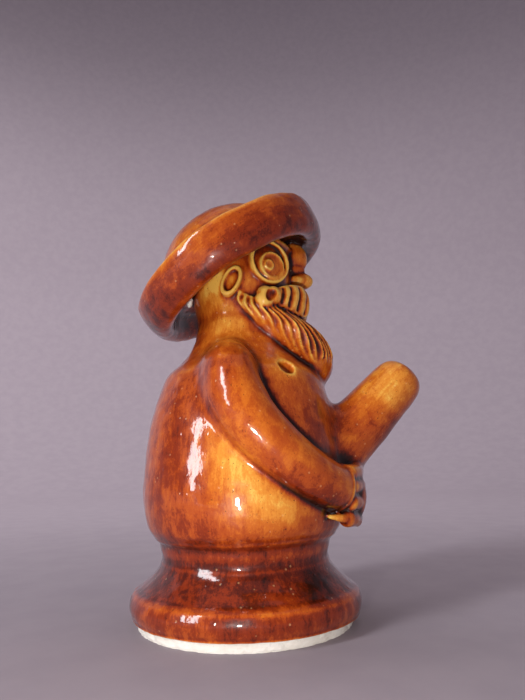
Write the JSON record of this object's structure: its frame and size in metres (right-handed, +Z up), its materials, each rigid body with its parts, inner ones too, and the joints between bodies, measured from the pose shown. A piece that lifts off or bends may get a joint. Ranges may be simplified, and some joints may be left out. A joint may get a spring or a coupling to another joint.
{
  "type": "glazed pottery figurine",
  "caption": "Standing glazed pottery figurine of a bearded figure in a thick round hat, hands clasped on the belly below a blunt raised spout.",
  "frame": {"origin": "centre of the flat underside of the foot, on the turning axis of the pot", "axes": "+Z up along the turning axis, -Y where the figure faces and its spout points, -X the figure's right side"},
  "size_m": [0.0832, 0.1061, 0.1524],
  "materials": {
    "glaze_brown": "glossy treacle-brown glaze, thin and honey-yellow on edges, near black in the grooves",
    "glaze_honey": "the same glaze where it runs thin, honey to amber, glossy",
    "glaze_dark": "the same glaze where it pools, dark red-brown, glossy",
    "bare_clay": "unglazed cream clay, matt, slightly rough"
  },
  "bodies": {
    "root": {"foot_slab": "bare_clay", "base_flange": "glaze_brown", "body_shell": "glaze_brown", "head": "glaze_honey", "hat_brim": "glaze_brown", "hat_crown": "glaze_brown", "front_spout": "glaze_honey", "sleeve_right": "glaze_brown", "sleeve_left": "glaze_brown", "hand_right": "glaze_dark", "hand_left": "glaze_dark", "beard": "glaze_honey", "moustache_right": "glaze_dark", "moustache_left": "glaze_dark", "moustache_curl_right": "glaze_honey", "moustache_curl_left": "glaze_honey", "nose": "glaze_honey", "eye_ring_right": "glaze_honey", "eye_ring_left": "glaze_honey", "eye_disc_right": "glaze_honey", "eye_disc_left": "glaze_honey", "pupil_ring_right": "glaze_honey", "pupil_ring_left": "glaze_honey", "ear_right": "glaze_dark", "ear_left": "glaze_dark"}
  },
  "joints": []
}
